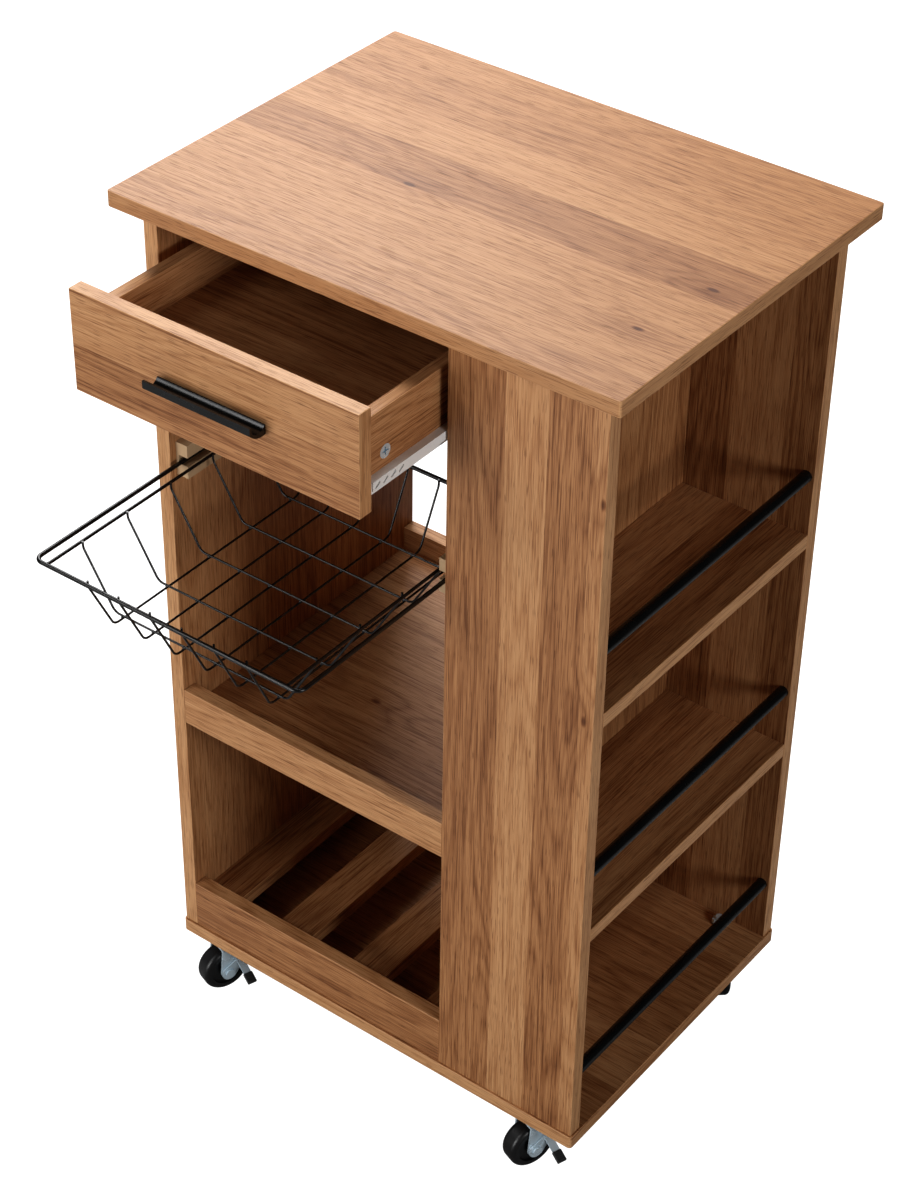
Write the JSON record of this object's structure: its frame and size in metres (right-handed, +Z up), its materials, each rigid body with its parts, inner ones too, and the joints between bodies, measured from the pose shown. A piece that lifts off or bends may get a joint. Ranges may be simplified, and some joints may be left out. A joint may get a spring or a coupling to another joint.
{
  "type": "kitchen island cart",
  "caption": "Wheeled kitchen island cart: worktop over a drawer, a pull-out wire basket, a shelf and bottle slats, beside an open-sided tower of shelves.",
  "frame": {"origin": "on the floor under the middle of the bounding box, with the drawer and the basket part way out", "axes": "+Z up; -Y is the front, where the drawer and the basket pull out; +X is the side with the open compartments"},
  "size_m": [0.52, 0.5494, 0.905],
  "materials": {
    "wood_laminate": "wood-grain laminate, satin",
    "plain_wood": "bare pale wood, planed",
    "black_steel": "black powder coat, satin",
    "white_steel": "white epoxy coat",
    "nylon": "moulded nylon",
    "zinc": "bright zinc plate",
    "wire_steel": "dark coated wire",
    "tread": "black moulded wheel",
    "black_plastic": "black moulded cap"
  },
  "bodies": {
    "carcass": {"worktop": "wood_laminate", "base_panel": "wood_laminate", "left_side_panel": "wood_laminate", "divider_panel": "wood_laminate", "front_panel": "wood_laminate", "back_panel": "wood_laminate", "upper_side_shelf": "wood_laminate", "lower_side_shelf": "wood_laminate", "mid_shelf": "wood_laminate", "mid_front_rail": "wood_laminate", "mid_back_rail": "wood_laminate", "bottom_front_rail": "wood_laminate", "bottom_back_rail": "wood_laminate", "top_back_rail": "wood_laminate", "bottle_slat_1": "wood_laminate", "bottle_slat_2": "wood_laminate", "bottle_slat_3": "wood_laminate", "bottle_slat_4": "wood_laminate", "basket_runner_left": "plain_wood", "basket_runner_right": "plain_wood", "dowels": "plain_wood", "side_rod_1": "black_steel", "side_rod_2": "black_steel", "side_rod_3": "black_steel", "cabinet_runner_left": "white_steel", "cabinet_runner_right": "white_steel", "frame_screws": "zinc", "wood_screws": "zinc", "caster_stems": "zinc", "caster_nuts": "zinc"},
    "drawer": {"drawer_front": "wood_laminate", "drawer_side_left": "wood_laminate", "drawer_side_right": "wood_laminate", "drawer_back": "wood_laminate", "drawer_bottom": "wood_laminate", "drawer_runner_left": "white_steel", "drawer_runner_right": "white_steel", "handle": "black_steel", "handle_screws": "zinc", "drawer_cams": "zinc", "drawer_screws": "zinc"},
    "basket": {"basket_rim": "wire_steel", "basket_cross_wires": "wire_steel", "basket_long_wires": "wire_steel"},
    "carcass_roller_left": {"cabinet_roller_left": "nylon"},
    "drawer_roller_left": {"drawer_roller_left": "nylon"},
    "carcass_roller_right": {"cabinet_roller_right": "nylon"},
    "drawer_roller_right": {"drawer_roller_right": "nylon"},
    "swivel_front_left": {"caster_fork_front_left": "zinc"},
    "wheel_front_left": {"caster_wheel_front_left": "tread"},
    "swivel_front_right": {"caster_fork_front_right": "zinc"},
    "wheel_front_right": {"caster_wheel_front_right": "tread"},
    "swivel_back_left": {"caster_fork_back_left": "zinc"},
    "wheel_back_left": {"caster_wheel_back_left": "tread"},
    "swivel_back_right": {"caster_fork_back_right": "zinc"},
    "wheel_back_right": {"caster_wheel_back_right": "tread"},
    "brake_front_left": {"brake_pedal_front_left": "zinc", "brake_cap_front_left": "black_plastic"},
    "brake_front_right": {"brake_pedal_front_right": "zinc", "brake_cap_front_right": "black_plastic"}
  },
  "joints": [
    {"name": "drawer_slide", "type": "slide", "parent": "carcass", "child": "drawer", "axis": [0, -1, 0], "range_m": [-0.109, 0.11]},
    {"name": "basket_slide", "type": "slide", "parent": "carcass", "child": "basket", "axis": [0, -1, 0], "range_m": [-0.1815, 0.055]},
    {"name": "carcass_roller_left_spin", "type": "hinge", "parent": "carcass", "child": "carcass_roller_left", "pos_m": [-0.2122, -0.06625, 0.7863], "axis": [1, 0, 0], "range_deg": [-690, 700]},
    {"name": "drawer_roller_left_spin", "type": "hinge", "parent": "drawer", "child": "drawer_roller_left", "pos_m": [-0.2185, 0.09775, 0.7863], "axis": [1, 0, 0], "range_deg": [-690, 700]},
    {"name": "carcass_roller_right_spin", "type": "hinge", "parent": "carcass", "child": "carcass_roller_right", "pos_m": [0.0797, -0.06625, 0.7863], "axis": [1, 0, 0], "range_deg": [-690, 700]},
    {"name": "drawer_roller_right_spin", "type": "hinge", "parent": "drawer", "child": "drawer_roller_right", "pos_m": [0.086, 0.09775, 0.7863], "axis": [1, 0, 0], "range_deg": [-690, 700]},
    {"name": "swivel_front_left_turn", "type": "hinge", "parent": "carcass", "child": "swivel_front_left", "pos_m": [-0.191, -0.06925, 0.057], "axis": [0, 0, 1], "continuous": true},
    {"name": "wheel_front_left_spin", "type": "hinge", "parent": "swivel_front_left", "child": "wheel_front_left", "pos_m": [-0.1975, -0.0871, 0.025], "axis": [0.9397, -0.342, 0], "continuous": true},
    {"name": "brake_front_left_press", "type": "hinge", "parent": "swivel_front_left", "child": "brake_front_left", "pos_m": [-0.1975, -0.0871, 0.025], "axis": [-0.9397, 0.342, 0], "range_deg": [0, 22]},
    {"name": "swivel_front_right_turn", "type": "hinge", "parent": "carcass", "child": "swivel_front_right", "pos_m": [0.194, -0.06925, 0.057], "axis": [0, 0, 1], "continuous": true},
    {"name": "wheel_front_right_spin", "type": "hinge", "parent": "swivel_front_right", "child": "wheel_front_right", "pos_m": [0.1875, -0.0871, 0.025], "axis": [0.9397, -0.342, 0], "continuous": true},
    {"name": "brake_front_right_press", "type": "hinge", "parent": "swivel_front_right", "child": "brake_front_right", "pos_m": [0.1875, -0.0871, 0.025], "axis": [-0.9397, 0.342, 0], "range_deg": [0, 22]},
    {"name": "swivel_back_left_turn", "type": "hinge", "parent": "carcass", "child": "swivel_back_left", "pos_m": [-0.191, 0.23075, 0.057], "axis": [0, 0, 1], "continuous": true},
    {"name": "wheel_back_left_spin", "type": "hinge", "parent": "swivel_back_left", "child": "wheel_back_left", "pos_m": [-0.18297, 0.21353, 0.025], "axis": [0.9063, 0.4226, 0], "continuous": true},
    {"name": "swivel_back_right_turn", "type": "hinge", "parent": "carcass", "child": "swivel_back_right", "pos_m": [0.194, 0.23075, 0.057], "axis": [0, 0, 1], "continuous": true},
    {"name": "wheel_back_right_spin", "type": "hinge", "parent": "swivel_back_right", "child": "wheel_back_right", "pos_m": [0.20647, 0.21641, 0.025], "axis": [0.7547, 0.6561, 0], "continuous": true}
  ],
  "couplings": [
    {"joint": "carcass_roller_left_spin", "follows": "drawer_slide", "rad_per_m": 108.7},
    {"joint": "drawer_roller_left_spin", "follows": "drawer_slide", "rad_per_m": 108.7},
    {"joint": "carcass_roller_right_spin", "follows": "drawer_slide", "rad_per_m": 108.7},
    {"joint": "drawer_roller_right_spin", "follows": "drawer_slide", "rad_per_m": 108.7}
  ]
}
